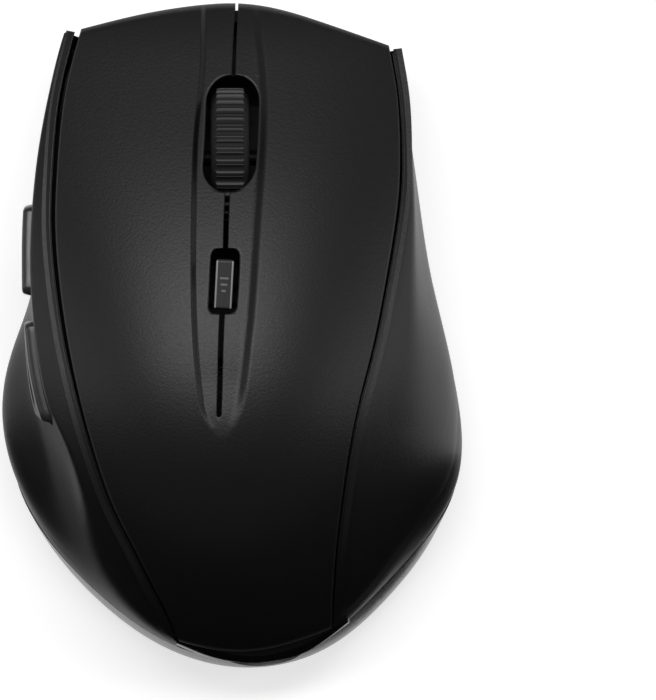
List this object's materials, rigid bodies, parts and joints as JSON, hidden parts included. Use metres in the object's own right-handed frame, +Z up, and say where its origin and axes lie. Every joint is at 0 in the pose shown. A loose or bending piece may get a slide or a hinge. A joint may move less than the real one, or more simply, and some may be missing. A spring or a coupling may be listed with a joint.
{
  "type": "computer mouse",
  "caption": "Right-handed wireless computer mouse: sculpted dark grey body, two long keys, ribbed scroll wheel, resolution button and thumb buttons.",
  "frame": {"origin": "on the table, under the middle of the mouse's bounding box", "axes": "+Y towards the tips of the keys, +X to the right of the hand, +Z up"},
  "size_m": [0.0736, 0.1057, 0.0395],
  "materials": {
    "base_plastic": "satin moulded black",
    "soft_touch": "soft-touch coated, matte",
    "gloss_trim": "polished black",
    "frame_plastic": "moulded black",
    "slip_pad": "smooth low-friction",
    "steel": "plated",
    "circuit_board": "green solder mask",
    "switch_plastic": "moulded",
    "chip_plastic": "moulded",
    "lens_plastic": "clear",
    "aluminium_can": "plain",
    "cell_jacket": "printed sleeve",
    "plunger_plastic": "moulded white",
    "wheel_plastic": "moulded black",
    "wheel_rubber": "ribbed",
    "button_plastic": "satin grey",
    "button_gloss": "gloss black",
    "slider_plastic": "moulded grey",
    "plug_steel": "nickel plated",
    "tongue_plastic": "moulded black",
    "gilt": "gold plated"
  },
  "bodies": {
    "casing": {"base_shell": "base_plastic", "left_side_shell": "soft_touch", "right_side_shell": "soft_touch", "rear_trim": "gloss_trim", "palm_cover": "soft_touch", "mid_frame": "frame_plastic", "glide_feet": "slip_pad", "casing_screws": "steel", "main_circuit_board": "circuit_board", "board_screws": "steel", "left_click_switch": "switch_plastic", "right_click_switch": "switch_plastic", "middle_click_switch": "switch_plastic", "dpi_switch": "switch_plastic", "thumb_switch_board": "circuit_board", "thumb_switches": "switch_plastic", "optical_sensor": "chip_plastic", "sensor_lens": "lens_plastic", "microcontroller": "chip_plastic", "capacitor": "aluminium_can", "battery_cell": "cell_jacket", "battery_plus_contact": "steel", "battery_minus_contact": "steel", "power_switch_body": "switch_plastic"},
    "left_key": {"left_button": "soft_touch", "left_click_plunger": "plunger_plastic"},
    "right_key": {"right_button": "soft_touch", "right_click_plunger": "plunger_plastic"},
    "wheel_carriage": {"wheel_cradle": "frame_plastic", "rotary_encoder": "switch_plastic", "middle_click_plunger": "plunger_plastic"},
    "scroll_wheel": {"scroll_wheel_hub": "wheel_plastic", "scroll_wheel_tyre": "wheel_rubber"},
    "dpi_key": {"dpi_button": "button_plastic"},
    "forward_key": {"thumb_button_forward": "button_gloss"},
    "back_key": {"thumb_button_back": "button_gloss"},
    "power_slider": {"power_switch_slider": "slider_plastic"},
    "battery_cover": {"battery_door": "base_plastic"},
    "usb_receiver": {"receiver_housing": "button_gloss", "receiver_plug_shell": "plug_steel", "receiver_tongue": "tongue_plastic", "receiver_contacts": "gilt"}
  },
  "joints": [
    {"name": "left_click", "type": "hinge", "parent": "casing", "child": "left_key", "pos_m": [-0.014, -0.013, 0.0386], "axis": [1, 0, 0], "range_deg": [-0.6, 0], "stiffness_Nm_per_rad": 0.8, "springref_deg": 2.01},
    {"name": "right_click", "type": "hinge", "parent": "casing", "child": "right_key", "pos_m": [0.0128, -0.013, 0.0386], "axis": [1, 0, 0], "range_deg": [-0.6, 0], "stiffness_Nm_per_rad": 0.8, "springref_deg": 2.01},
    {"name": "wheel_click", "type": "hinge", "parent": "casing", "child": "wheel_carriage", "pos_m": [-0.0006, 0.015, 0.012], "axis": [1, 0, 0], "range_deg": [-1.6, 0], "stiffness_Nm_per_rad": 0.2, "springref_deg": 2.58},
    {"name": "wheel_turn", "type": "hinge", "parent": "wheel_carriage", "child": "scroll_wheel", "pos_m": [-0.0006, 0.028, 0.0194], "axis": [1, 0, 0], "continuous": true},
    {"name": "dpi_press", "type": "slide", "parent": "casing", "child": "dpi_key", "axis": [0, 0, -1], "range_m": [0, 0.0004], "stiffness_N_per_m": 100, "springref_m": -0.004},
    {"name": "forward_press", "type": "slide", "parent": "casing", "child": "forward_key", "axis": [1, 0, 0], "range_m": [0, 0.0006], "stiffness_N_per_m": 60, "springref_m": -0.006},
    {"name": "back_press", "type": "slide", "parent": "casing", "child": "back_key", "axis": [1, 0, 0], "range_m": [0, 0.0006], "stiffness_N_per_m": 60, "springref_m": -0.006},
    {"name": "power_slide", "type": "slide", "parent": "casing", "child": "power_slider", "axis": [0, 1, 0], "range_m": [0, 0.0025]},
    {"name": "battery_door_lift", "type": "slide", "parent": "casing", "child": "battery_cover", "axis": [0, 0, -1], "range_m": [0, 0.025]},
    {"name": "receiver_lift", "type": "slide", "parent": "casing", "child": "usb_receiver", "axis": [0, 0, -1], "range_m": [0, 0.025]}
  ]
}
